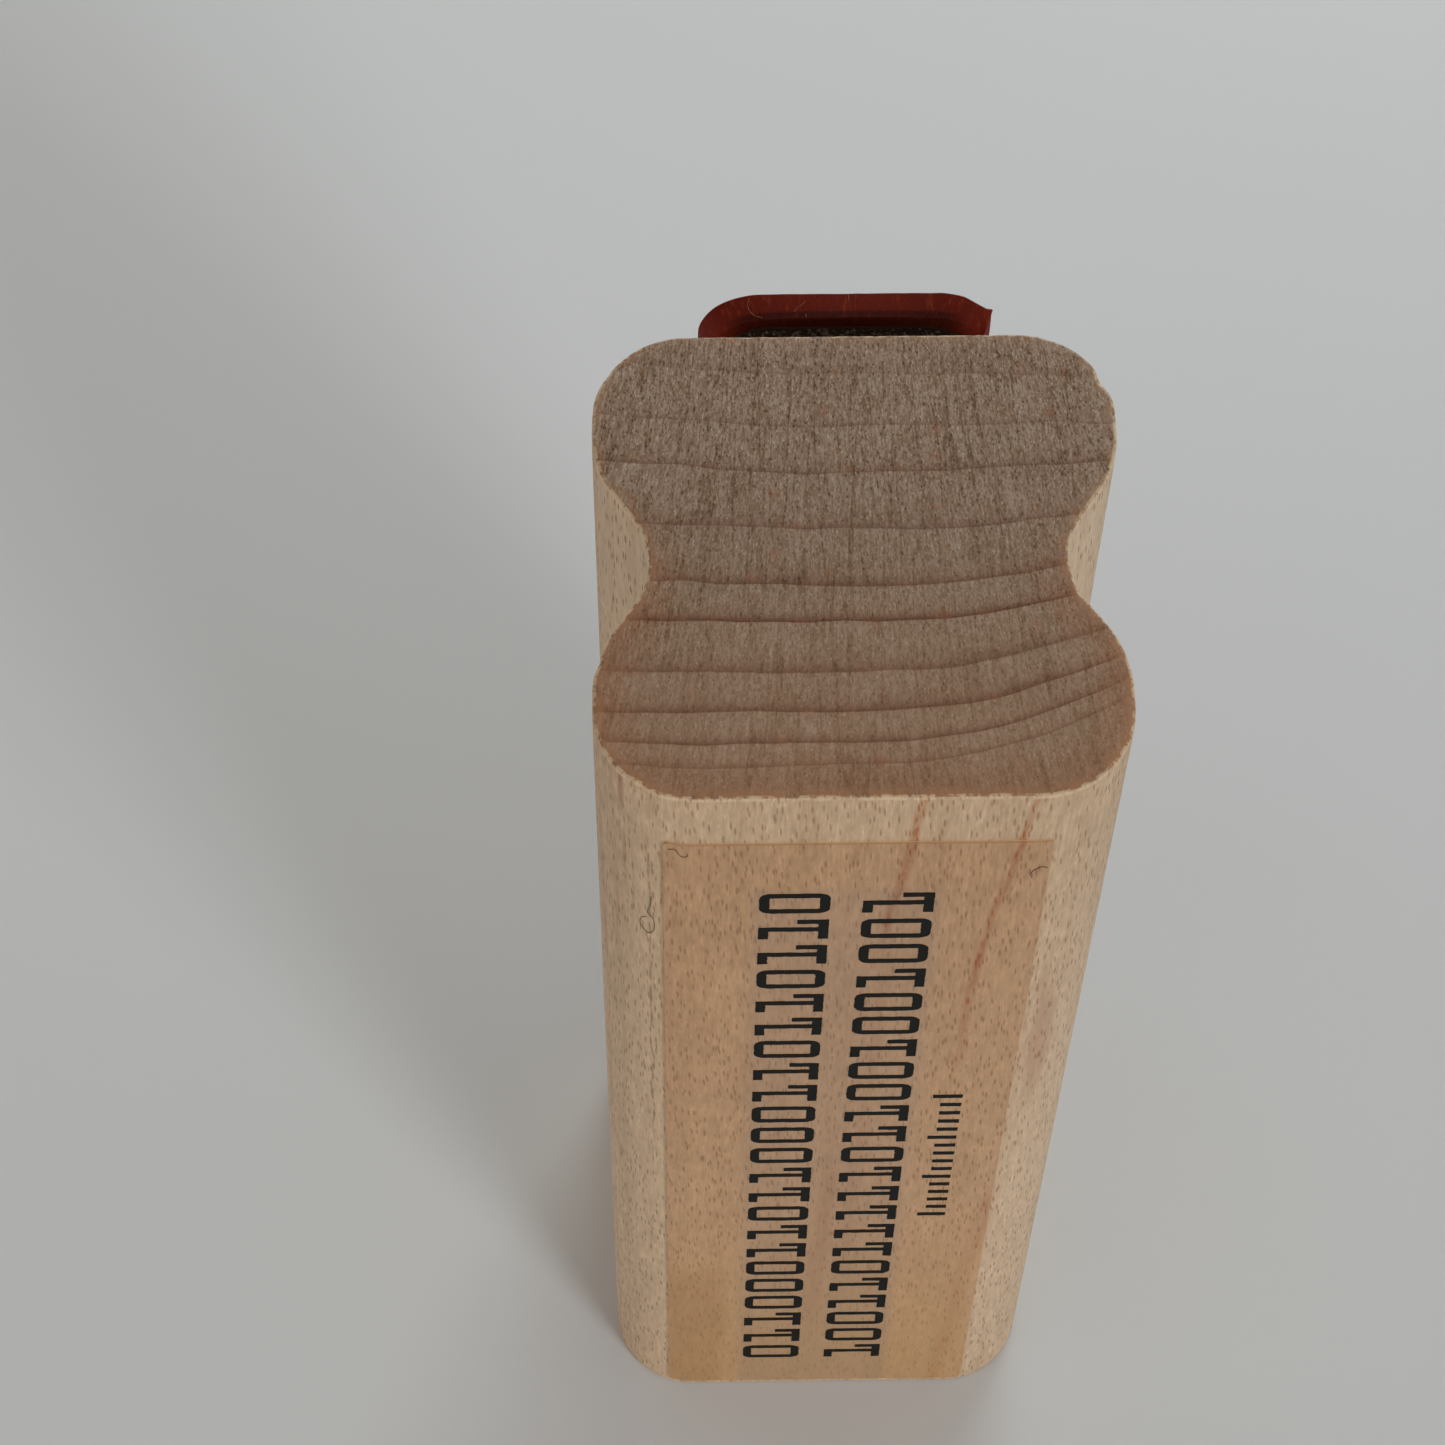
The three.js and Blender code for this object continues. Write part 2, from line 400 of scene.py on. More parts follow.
def end_grain(graph, x, y, z, patches, edge):
    """Colour and height of the cut ends: growth rings, rays across them, and a fine speckle."""
    ring = ring_place(graph, x, y, z)
    line, shade = growth_rings(graph, ring, graph.fade(y, -10.0, 8.0) * 10.0 + 7.0)
    across = x * (y * 0.016 + 1.0)
    rays, ray_lines = end_rays(graph, across, ring, z)
    strokes = graph.noise((across * 8.5, ring * 2.6, z * 5.0), 3.0, 0.7)
    spots = graph.noise((x * 0.9, y * 0.9, 3.0), 2.0)
    broken_line = line * graph.fade(rays + strokes, 0.65, 1.05)
    base = ring_colours(graph, y, patches, broken_line, shade)
    outer = graph.fade(edge + (spots - 0.5) * 4.0, 2.4, 0.3) * graph.fade(y, 5.0, -5.0)
    base = graph.mix(outer * 0.45, base, (150, 100, 66))

    contrast = graph.fade(y, -12.0, 12.0) * 0.6 + 0.48
    ray_tone = (rays - 0.5) * 0.6 - ray_lines * contrast * 0.26
    tone = end_speckle(graph, x, y, z, strokes) * contrast + ray_tone + (patches - 0.5) * 0.25 + 1.05
    base = graph.brighten(base, graph.math("MAXIMUM", tone, 0.3), 0.7)

    rim = graph.fade(edge + strokes * 1.3, 1.15, 0.45) * graph.fade(spots, 0.36, 0.54)
    base = graph.mix(rim * (graph.fade(y, 6.0, -9.0) * 0.4 + 0.35), base, (178, 128, 88))
    base = graph.mix(graph.fade(spots + shade * 0.08, 0.62, 0.76) * 0.32, base, (158, 94, 56))
    return base, strokes * 0.6 + rays * 0.4


def front_marks(graph, base, x, y, below_top, smudges, flecks):
    """The colour with the front's mineral streaks, reddish stains and line of dirt over it."""
    streaks = streak_amount(graph, x, y, below_top, graph.fade(smudges, 0.35, 0.7) + flecks)
    base = graph.mix(streaks * 0.65, base, (178, 102, 46))
    base = graph.mix(stain_amount(graph, x, y, below_top, smudges), base, (160, 84, 62))
    return graph.mix(dirt_amount(graph, x, y, below_top) * 0.5, base, (84, 70, 56))


def side_grain(graph, x, y, z, patches):
    """Colour and height of the sides: pale, with fibres along the block and short dark rays, painted shade
    towards the top and small painted glints.
    """
    below_top = TOP - z
    fibres = graph.noise((x * 6.0, y * 6.0, z * 0.5), 3.0, 0.65)
    bands = graph.noise((x * 0.8, y * 0.8, z * 0.03), 2.0)
    smudges = graph.noise((x * 2.6, y * 1.2, z * 0.8), 2.0)
    flecks = ray_flecks(graph, x, y, z)
    base = graph.mix(bands, (232, 200, 166), (211, 178, 143))
    # Painted shade: the sides get darker towards the block's top.
    painted_top_shade = graph.fade(below_top, 50.0, 0.0) * 0.14
    tone = (fibres - 0.5) * 0.55 + (smudges - 0.5) * 0.4 + (patches - 0.5) * 0.16 - painted_top_shade + 1.05
    # Painted glints: small pale strokes where the fibres would catch the light.
    strokes = graph.fade(graph.cells((x * 4.8 + z * 0.05, y * 4.8 + 9.0, z * 0.7)), 0.3, 0.1)
    base = graph.brighten(base, tone + strokes * 0.12, 0.35)
    line, shade = growth_rings(graph, ring_place(graph, x, y, z), 8.0)
    base = graph.mix(line * 0.28 + shade * 0.14, base, (172, 124, 84))
    groove = graph.fade(abs(y), 8.5, 2.0) * graph.fade(abs(x), 8.0, 9.5)
    base = graph.mix(groove * 0.3, base, (250, 228, 200))
    base = graph.mix(flecks * (groove * 0.2 + 0.55), base, (142, 92, 54))
    return front_marks(graph, base, x, y, below_top, smudges, flecks), fibres


def torn_fibres_and_highlight(graph, x, y, z, edge, upright):
    """How much a point of the ends' rounded edge is pale, from torn fibres and from a painted highlight."""
    frayed = graph.noise((x * 2.4, y * 2.4, z * 0.6), 3.0, 0.65)
    return graph.fade(edge, 0.16, 0.0) * graph.fade(upright, 0.995, 0.9) * graph.fade(frayed, 0.42, 0.56)


def wood_patches(graph, x, y, z):
    """Broad lighter and darker patches, which run on below the label."""
    return graph.noise((x * 0.35, y * 0.35, z * 0.12), 3.0)


def wood_material():
    """Maple: end grain where the block faces up or down, side grain elsewhere, and between them a rounded
    edge made pale by torn fibres and a painted highlight.
    """
    graph = Graph("maple_wood")
    x, y, z = graph.place()
    patches = wood_patches(graph, x, y, z)
    upright = abs(graph.normal()[2])
    end = graph.fade(upright + (patches - 0.5) * 0.5, 0.5, 0.8)
    edge = graph.attribute(EDGE_ATTRIBUTE)
    end_base, end_height = end_grain(graph, x, y, z, patches, edge)
    side_base, side_height = side_grain(graph, x, y, z, patches)
    base = graph.mix(end, side_base, end_base)
    # Pale torn fibres, partly a painted highlight, along the ends' rounded edge.
    base = graph.mix(torn_fibres_and_highlight(graph, x, y, z, edge, upright) * 0.6, base, (238, 210, 172))
    height = end_height * end + side_height * (1.0 - end)
    return graph.finish(base, 0.6, height, depth_mm=0.03, specular=0.3)


def label_material():
    """The clear film shows the wood below, warmed by its glue, darker where the glue has soaked in, and with
    a painted highlight on its cut edges.
    """
    graph = Graph("label_film")
    x, y, z = graph.place()
    below_top = TOP - z
    wood, _ = side_grain(graph, x, y, z, wood_patches(graph, x, y, z))
    cloud = graph.noise((x * 0.3, y * 0.3, z * 0.12), 3.0)
    base = graph.mix(1.0, wood, (236, 216, 196), "MULTIPLY")
    lower = graph.fade(below_top, 45.0, 80.0)
    base = graph.mix(lower * 0.4, base, (220, 170, 106))
    soaked = graph.fade(x + cloud, -5.2, -6.2) * graph.fade(below_top + cloud * 2.0, 61, 65)
    base = graph.mix(soaked * 0.3, base, (168, 116, 58))
    printed = graph.fade(abs(x + 0.6), 5.1, 4.2) * graph.fade(below_top, 9.0, 9.8)
    base = graph.mix(printed * 0.28, base, (164, 138, 120))
    base = graph.brighten(base, (cloud - 0.5) * 0.12 + 1.0)
    # Painted highlight: the film's cut edges are lightened as if they caught the light.
    painted_edge_highlight = graph.fade(abs(graph.normal()[1]), 0.75, 0.5)
    base = graph.mix(painted_edge_highlight * 0.5, base, (224, 184, 140))
    ripple = graph.noise((x * 0.7, y, z * 0.5), 2.0)
    return graph.finish(base, ripple * 0.12 + 0.4, ripple, depth_mm=0.008, specular=0.4)


# ---- other materials


def ink_material():
    """Printed black that lets a little of the film through where it is thin."""
    graph = Graph("label_ink")
    x, y, z = graph.place()
    grain = graph.noise((x * 9.0, y, z * 9.0), 3.0, 0.6)
    base = graph.mix(graph.fade(grain, 0.5, 0.75), (19, 20, 17), (46, 40, 32))
    return graph.finish(base, grain * 0.3 + 0.5, grain, depth_mm=0.006, specular=0.12)


def rubber_material():
    """Dull red rubber with paler cut marks, and painted shade where its trimmed side slopes in towards the
    foam.
    """
    graph = Graph("red_rubber")
    x, y, z = graph.place()
    cut = graph.noise((x * 5.0, y * 0.5, z * 5.0), 3.0, 0.6)
    cloud = graph.noise((x * 0.5, y * 0.5, z * 0.5), 3.0)
    fine = graph.noise((x * 7.0, y * 7.0, z * 7.0), 2.0)
    base = graph.mix(cloud, (96, 22, 8), (122, 35, 14))
    base = graph.mix(graph.fade(cut, 0.52, 0.72) * 0.45, base, (156, 64, 36))
    # Painted shade: the back of the trimmed side darkens next to the foam.
    painted_undercut_shade = graph.fade(y, DIE_LOW.y + 0.52, DIE_LOW.y + 0.32) * graph.fade(abs(x), 6.4, 5.0)
    ends = graph.fade(abs(x), 4.0, 7.2)
    base = graph.brighten(base, (fine - 0.5) * 0.7 - painted_undercut_shade * 0.6 + ends * 0.15 + 1.0)
    return graph.finish(base, cut * 0.2 + 0.6, cut * 0.7 + fine * 0.3, depth_mm=0.03, specular=0.14)


def foam_material():
    """Dark closed-cell foam, speckled grey where its cells are cut."""
    graph = Graph("dark_foam")
    x, y, z = graph.place()
    cells = graph.cells((x * 5.0, y * 5.0, z * 5.0))
    grain = graph.noise((x * 4.0, y * 4.0, z * 4.0), 3.0, 0.7)
    base = graph.mix(graph.fade(grain, 0.48, 0.7), (40, 28, 23), (112, 100, 86))
    base = graph.mix(graph.fade(cells, 0.5, 0.15) * 0.5, base, (20, 14, 11))
    return graph.finish(base, 0.95, cells * 0.6 + grain, depth_mm=0.12, specular=0.15)


def glue_material(name, darker, lighter):
    graph = Graph(name)
    x, y, z = graph.place()
    smear = graph.noise((x * 1.5, y * 8.0, z * 1.5), 3.0)
    base = graph.mix(smear, darker, lighter)
    return graph.finish(base, smear * 0.2 + 0.4, smear, depth_mm=0.01)


def lint_material(name, darker, lighter):
    graph = Graph(name)
    x, y, z = graph.place()
    grain = graph.noise((x * 6.0, y * 6.0, z * 6.0))
    return graph.finish(graph.mix(grain, darker, lighter), 0.6)


# ---- outlines


def arc(centre, radius, start, end, step):
    """Points along a circular arc with their outward directions."""
    count = max(2, round(abs(end - start) * radius / step))
    for index in range(count):
        angle = start + (end - start) * index / (count - 1)
        outward = Vector((math.cos(angle), math.sin(angle)))
        yield Vector(centre) + outward * radius, outward


def with_straights(points, step):
    """Fills the straight stretches of a closed outline with points no further apart than step."""
    filled = []
    for index, (point, outward) in enumerate(points):
        following, next_outward = points[(index + 1) % len(points)]
        filled.append((point, outward))
        count = int((following - point).length / step)
        for part in range(1, count):
            share = part / count
            filled.append((point.lerp(following, share), outward.lerp(next_outward, share).normalized()))
    return filled


def block_outline(step=0.25):
    """The block's section in X and Y, from arcs that meet the straight flanks smoothly."""
    side = BLOCK_HIGH.x
    back = BLOCK_HIGH.y
    turn = FLANK_ANGLE
    groove_x = side - GROOVE_DEPTH + GROOVE_RADIUS
    shoulder_x = side - SHOULDER_RADIUS
    reach = SHOULDER_RADIUS + GROOVE_RADIUS
    flank_run = shoulder_x - groove_x + reach * math.cos(turn)
    shoulder_y = flank_run / math.tan(turn) + reach * math.sin(turn)
    corner_x = side - CORNER_RADIUS
    corner_y = back - CORNER_RADIUS
    half = []
    for place, outward in arc((groove_x, 0), GROOVE_RADIUS, math.pi + turn, math.pi - turn, step):
        half.append((place, -outward))
    half += arc((shoulder_x, shoulder_y), SHOULDER_RADIUS, -turn, 0, step)
    half += arc((corner_x, corner_y), CORNER_RADIUS, 0, math.pi / 2, step)
    half += arc((-corner_x, corner_y), CORNER_RADIUS, math.pi / 2, math.pi, step)
    half += arc((-shoulder_x, shoulder_y), SHOULDER_RADIUS, math.pi, math.pi + turn, step)
    other_half = [(-place, -outward) for place, outward in half]
    return with_straights(half + other_half, step)


def corner_outline(low, high, radius, step):
    """A rounded rectangle in X and Z, from its lowest and highest corners."""
    quarter = math.pi / 2
    points = []
    points += arc((high[0] - radius, low[1] + radius), radius, -quarter, 0, step)
    points += arc((high[0] - radius, high[1] - radius), radius, 0, quarter, step)
    points += arc((low[0] + radius, high[1] - radius), radius, quarter, 2 * quarter, step)
    points += arc((low[0] + radius, low[1] + radius), radius, 2 * quarter, 3 * quarter, step)
    return with_straights(points, step)


# The snip bends into the sheet's top edge.
SNIP_BEND_RADIUS = 3.0
SNIP_BEND_ANGLE = 0.5


def snip_lip(right, foot):
    """The small lip at the snip's foot, which is at the sheet's right edge."""
    sideways = Vector((1, 0))
    upwards = Vector((SNIP_HEIGHT, SNIP_WIDTH)).normalized()
    return [
        (Vector((right - 0.04, foot - 0.3)), sideways),
        (Vector((right, foot + 0.02)), (upwards + sideways).normalized()),
        (Vector((right - 0.32, foot + 0.12)), upwards),
    ]


def die_outline(step=0.25):
    """The trimmed rubber sheet in X and Z: three rounded corners and one snipped off, with a small lip."""
    quarter = math.pi / 2
    radius = DIE_CORNER_RADIUS
    left, right, bottom, top = DIE_LOW.x, DIE_HIGH.x, DIE_LOW.z, DIE_HIGH.z
    bend = (right - SNIP_WIDTH - 0.25, top - SNIP_BEND_RADIUS)
    points = []
    points += arc((right - radius, bottom + radius), radius, -quarter, 0, step)
    points += snip_lip(right, top - SNIP_HEIGHT)
    points += arc(bend, SNIP_BEND_RADIUS, quarter - SNIP_BEND_ANGLE, quarter, step)
    points += arc((left + radius, top - radius), radius, quarter, 2 * quarter, step)
    points += arc((left + radius, bottom + radius), radius, 2 * quarter, 3 * quarter, step)
    return with_straights(points, step)


# ---- meshes

# Edges that turn more than this are shaded sharp.
SHARP_ANGLE = math.radians(32)


class Skin:
    """Gathers closed loops of points into one mesh, in millimetres."""

    def __init__(self):
        self.vertices = []
        self.faces = []

    def loop(self, points):
        first = len(self.vertices)
        self.vertices += points
        return list(range(first, first + len(points)))

    def wall(self, lower, upper):
        """Joins two loops of the same length. Faces point out of a loop that runs anticlockwise."""
        count = len(lower)
        for index in range(count):
            after = (index + 1) % count
            self.faces.append((lower[index], lower[after], upper[after], upper[index]))

    def cap(self, loop, flip=False):
        self.faces.append(tuple(reversed(loop)) if flip else tuple(loop))

    def tube(self, loops):
        """Joins each loop to the next one, and closes both ends."""
        for lower, upper in zip(loops, loops[1:]):
            self.wall(lower, upper)
        self.cap(loops[0], flip=True)
        self.cap(loops[-1])

    def make_piece(self, name, material):
        """The mesh as an object that rides on the stamp's one body."""
        mesh = bpy.data.meshes.new(name)
        mesh.from_pydata([Vector(vertex) * MM for vertex in self.vertices], [], self.faces)
        mesh.validate()
        mesh.materials.append(material)
        mesh.shade_smooth()
        mesh.set_sharp_from_angle(angle=SHARP_ANGLE)
        piece = bpy.data.objects.new(name, mesh)
        bpy.context.collection.objects.link(piece)
        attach(piece, "root")
        return piece


# ---- the block

# Small nicks in the top edge: x, y, depth and width.
NICKS = (
    (12.25, 9.95, 0.3, 0.55),
    (-11.9, 10.4, 0.06, 0.5),
    (10.4, -1.9, 0.1, 0.4),
    (-12.4, -5.3, 0.15, 0.5),
    (-10.6, -11.9, 0.14, 0.4),
)
# Wear and nicks fade out this far from an end. The wear is broad and shallow, with a finer part.
WEAR_REACH = 1.6
WEAR_DEPTH = 0.05
BROAD_WEAR_SCALE = 1.7
FINE_WEAR_SCALE = 4.3

# The skin's rows: in each rounded edge, on the flat ends by their inset, and along the sides.
EDGE_STEPS = 4
CAP_INSETS = (0.35, 0.6, 0.9, 1.3, 1.8, 2.6)
ROW_SPACING = 1.5
SIDE_EDGE_DISTANCE = 1.0


def edge_wear(place, height):
    """How far a point of the outline is worn in, near the top or bottom edge."""
    from_end = min(height - BLOCK_LOW.z, TOP - height)
    closeness = max(0.0, 1 - from_end / WEAR_REACH)
    broad = place * BROAD_WEAR_SCALE
    fine = place * FINE_WEAR_SCALE
    wear = WEAR_DEPTH * closeness * abs(noise.noise(Vector((broad.x, broad.y, height * 0.3))))
    wear += WEAR_DEPTH * closeness ** 5 * abs(noise.noise(Vector((fine.x, fine.y, height))))
    if height > TOP / 2:
        for x, y, depth, width in NICKS:
            gap = (place - Vector((x, y))).length / width
            wear += depth * closeness ** 2 * math.exp(-gap * gap)
    return wear


def block_rows():
    """Each row of the block's skin, from the bottom up: height, inset and distance from the end's edge."""
    rows = [(BLOCK_LOW.z, END_EDGE_RADIUS + inset, inset) for inset in reversed(CAP_INSETS)]
    for index in range(EDGE_STEPS + 1):
        angle = math.pi / 2 * index / EDGE_STEPS
        rise = END_EDGE_RADIUS * (1 - math.cos(angle))
        rows.append((BLOCK_LOW.z + rise, END_EDGE_RADIUS * (1 - math.sin(angle)), 0.0))
    for index in range(round((TOP - BLOCK_LOW.z) / ROW_SPACING / 2) - 1):
        height = BLOCK_LOW.z + END_EDGE_RADIUS + (0.5 + index) * ROW_SPACING
        rows.append((height, 0.0, SIDE_EDGE_DISTANCE))
    upper_half = [(TOP + BLOCK_LOW.z - height, inset, edge) for height, inset, edge in reversed(rows)]
    return rows + upper_half


def build_block(material):
    outline = block_outline()
    skin = Skin()
    distances = []
    loops = []
    for height, inset, edge in block_rows():
        points = []
        for place, outward in outline:
            moved = place - outward * (inset + edge_wear(place, height))
            points.append((moved.x, moved.y, height))
            distances.append(edge)
        loops.append(skin.loop(points))
    skin.tube(loops)
    piece = skin.make_piece("maple_block", material)
    layer = piece.data.attributes.new(EDGE_ATTRIBUTE, "FLOAT", "POINT")
    layer.data.foreach_set("value", distances)
    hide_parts("wood_block")


# ---- the label


def front_of_block(x, offset):
    """The point at x on the block's front, moved out by offset square to the surface."""
    flat = BLOCK_HIGH.x - CORNER_RADIUS
    beyond = abs(x) - flat
    if beyond <= 0:
        return x, BLOCK_LOW.y - offset
    angle = math.asin(beyond / CORNER_RADIUS)
    reach = CORNER_RADIUS + offset
    bent_x = math.copysign(flat + reach * math.sin(angle), x)
    return bent_x, BLOCK_LOW.y + CORNER_RADIUS - reach * math.cos(angle)


# The film's mesh: points across, rows in its rounded corners, and parts of its length between them.
FILM_POINTS_ACROSS = 61
FILM_CORNER_ROWS = (0.0, 0.04, 0.1, 0.18, LABEL_CORNER_RADIUS)
FILM_PARTS = 40


def film_row_heights():
    """How far above the label's lower end each row of its mesh is."""
    height = LABEL_HIGH.z - LABEL_LOW.z
    straight = height - 2 * LABEL_CORNER_RADIUS
    heights = list(FILM_CORNER_ROWS)
    heights += [LABEL_CORNER_RADIUS + straight * part / FILM_PARTS for part in range(1, FILM_PARTS)]
    return heights + [height - row for row in reversed(FILM_CORNER_ROWS)]


def film_row(rise):
    """The label's points in X at a height above its lower end, closer to the middle in its corners."""
    from_end = min(rise, LABEL_HIGH.z - LABEL_LOW.z - rise)
    short = max(0.0, LABEL_CORNER_RADIUS - from_end)
    inset = LABEL_CORNER_RADIUS - math.sqrt(LABEL_CORNER_RADIUS ** 2 - short ** 2)
    width = LABEL_HIGH.x - LABEL_LOW.x - 2 * inset
    last = FILM_POINTS_ACROSS - 1
    return [LABEL_LOW.x + inset + width * index / last for index in range(FILM_POINTS_ACROSS)]


def film_layer(name, near, far, material):
    """A sheet that follows the block's front, from offset near to offset far out of the wood."""
    skin = Skin()
    loops = []
    for rise in film_row_heights():
        places = film_row(rise)
        points = [(*front_of_block(x, far), LABEL_LOW.z + rise) for x in places]
        points += [(*front_of_block(x, near), LABEL_LOW.z + rise) for x in reversed(places)]
        loops.append(skin.loop(points))
    skin.tube(loops)
    return skin.make_piece(name, material)


def build_label(film, glue):
    glue_thickness = GLUE_HIGH.y - GLUE_LOW.y
    layer = film_layer("label_glue", 0.0, glue_thickness, glue)
    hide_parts("label_adhesive_film")
    sheet = film_layer("index_label", glue_thickness, LABEL_FRONT_OFFSET, film)
    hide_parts("label_film")


# ---- digits


def digit_at(row, column):
    """A made-up pattern of noughts and ones, the same on the label and on the rubber."""
    return (7 * row * row + 2 * row + 5 * column) % 19 % 2


def rounded_loop(half_width, half_height, radius, steps=4):
    """A rounded rectangle around the origin, anticlockwise."""
    points = []
    for x_sign, y_sign, start in ((1, -1, -90), (1, 1, 0), (-1, 1, 90), (-1, -1, 180)):
        for index in range(steps + 1):
            angle = math.radians(start + 90 * index / steps)
            x = x_sign * (half_width - radius) + radius * math.cos(angle)
            y = y_sign * (half_height - radius) + radius * math.sin(angle)
            points.append(Vector((x, y)))
    return points


def grown(points, grow):
    """The polygon with every side moved out by grow."""
    moved = []
    for index, point in enumerate(points):
        before = (point - points[index - 1]).normalized()
        after = (points[(index + 1) % len(points)] - point).normalized()
        outward = Vector((before.y + after.y, -before.x - after.x))
        moved.append(point + outward * grow)
    return moved


def side_counts(points, step):
    """How many parts of about step each side of a polygon divides into."""
    counts = []
    for index, point in enumerate(points):
        following = points[(index + 1) % len(points)]
        counts.append(max(1, round((following - point).length / step)))
    return counts


def divide(points, counts):
    """The same polygon with its sides divided."""
    divided = []
    for index, count in enumerate(counts):
        following = points[(index + 1) % len(points)]
        divided += [points[index].lerp(following, part / count) for part in range(count)]
    return divided


def one_corners():
    """An upright one: a stem with a flag at its top left, and a wide foot that turns up at its right end."""
    right = DIGIT_WIDTH / 2
    left = -right
    top = DIGIT_HEIGHT / 2
    bottom = -top
    stem = DIGIT_STROKE / 2
    return [Vector(corner) for corner in (
        (left, bottom),
        (right, bottom),
        (right, bottom + DIGIT_TICK),
        (right - DIGIT_STROKE, bottom + DIGIT_TICK),
        (right - DIGIT_STROKE, bottom + DIGIT_STROKE),
        (stem, bottom + DIGIT_STROKE),
        (stem, top),
        (left, top),
        (left, top - DIGIT_STROKE),
        (-stem, top - DIGIT_STROKE),
        (-stem, bottom + DIGIT_STROKE),
        (left, bottom + DIGIT_STROKE),
    )]


SMALLEST_HOLE_RADIUS = 0.05


def digit_loops(digit, grow, step):
    """The outer loop of an upright digit, and for a nought its matching inner loop, grown by grow."""
    if digit == 1:
        corners = one_corners()
        return [divide(grown(corners, grow), side_counts(corners, step))]
    half_width = DIGIT_WIDTH / 2
    half_height = DIGIT_HEIGHT / 2
    radius = DIGIT_CORNER_RADIUS
    thickness = DIGIT_STROKE + grow
    counts = side_counts(rounded_loop(half_width, half_height, radius), step)
    outer = rounded_loop(half_width + grow, half_height + grow, radius + grow)
    hole_radius = max(SMALLEST_HOLE_RADIUS, radius - thickness)
    inner = rounded_loop(half_width - thickness, half_height - thickness, hole_radius)
    return [divide(outer, counts), divide(inner, counts)]


def ragged(x, y, z, row, amount):
    """The point moved a little in X and Z, so that a printed edge isn't ruler straight."""
    shift = noise.noise_vector(Vector((x * 4.0, row, z * 4.0))) * amount
    return x + shift.x, y, z + shift.z


def add_digit(skin, row, column, middle, levels, step, squeeze=1.0, jitter=0.0):
    """Lofts one digit through (grow, y) levels. It reads upwards, with its top towards -X.
    middle is the height of the middle row, and squeeze narrows the digit."""
    centre_z = middle + (row - (DIGIT_ROWS - 1) / 2) * DIGIT_PITCH
    centre_x = COLUMN_CENTRES[column]
    towards_back = levels[-1][1] > levels[0][1]
    loops = []
    for grow, y in levels:
        level = []
        for points in digit_loops(digit_at(row, column), grow, step):
            placed = []
            for point in points:
                x = centre_x - point.y
                z = centre_z + point.x * squeeze
                placed.append(ragged(x, y, z, 7.0, jitter))
            level.append(skin.loop(placed[::-1] if towards_back else placed))
        loops.append(level)
    for lower, upper in zip(loops, loops[1:]):
        skin.wall(lower[0], upper[0])
        if len(lower) > 1:
            skin.wall(lower[1][::-1], upper[1][::-1])
    if len(loops[0]) > 1:
        skin.wall(*reversed(loops[0]))
        skin.wall(*loops[-1])
    else:
        skin.cap(*loops[0], flip=True)
        skin.cap(*loops[-1])


def build_print(material):
    """The index print's two columns of digits."""
    face = LABEL_LOW.y
    levels = ((INK_SPREAD, face), (INK_SPREAD, face - INK_THICKNESS))
    for column, _ in enumerate(COLUMN_CENTRES):
        skin = Skin()
        for row in range(DIGIT_ROWS):
            add_digit(skin, row, column, PRINT_CENTRE, levels, PRINT_STEP, PRINT_SQUEEZE, PRINT_JITTER)
        piece = skin.make_piece(f"printed_column_{column + 1}", material)


# The rule's ticks run down from RULE_TOP below the block's top, and every fifth one is long.
RULE_TICKS = 16
RULE_LONG_EVERY = 5
RULE_TOP = 35.3
RULE_PITCH = 1.16
RULE_LEFT = 4.85
RULE_LONG = 1.6
RULE_SHORT = 1.15
RULE_STROKE = 0.44


def tick_outline(index):
    """One tick's corners in X and Z. All ticks end at the same x on the right."""
    length = RULE_SHORT if index % RULE_LONG_EVERY else RULE_LONG
    middle = TOP - RULE_TOP - index * RULE_PITCH
    low = Vector((RULE_LEFT + RULE_LONG - length, middle - RULE_STROKE / 2))
    high = Vector((RULE_LEFT + RULE_LONG, middle + RULE_STROKE / 2))
    return [low, Vector((high.x, low.y)), high, Vector((low.x, high.y))]


def build_rule(material):
    """A plain graduated rule, printed beside the digits."""
    skin = Skin()
    face = LABEL_LOW.y
    for index in range(RULE_TICKS):
        corners = tick_outline(index)
        points = divide(corners, side_counts(corners, PRINT_STEP))
        loops = []
        for y in (face, face - INK_THICKNESS):
            loops.append(skin.loop([ragged(point.x, y, point.y, 3.0, PRINT_JITTER) for point in points]))
        skin.tube(loops)
    piece = skin.make_piece("printed_rule", material)


# ---- cushion and rubber

# The foam's cut side stands in a little from its CAD outline, most at mid thickness, and is rough.
FOAM_STEP = 0.22
FOAM_ROWS = 14
FOAM_INSET = 0.1
FOAM_HOLLOW = 0.25
FOAM_ROUGHNESS_SCALE = 2.6


def inset_loop(skin, outline, y, inset_at):
    """An outline in X and Z as a loop at a y, with each place moved in by inset_at(place)."""
    points = []
    for place, outward in reversed(outline):
        moved = place - outward * inset_at(place)
        points.append((moved.x, y, moved.y))
    return skin.loop(points)


def foam_inset(place, y):
    """How far the foam's cut side stands in at a place: deepest at mid thickness, and rough."""
    share = (y - FOAM_LOW.y) / (FOAM_HIGH.y - FOAM_LOW.y)
    spot = Vector((place.x, y, place.y)) * FOAM_ROUGHNESS_SCALE
    rough = 0.16 * noise.noise(spot) + 0.1 * noise.noise(spot * 2.7)
    return FOAM_INSET + FOAM_HOLLOW * math.sin(math.pi * share) - rough


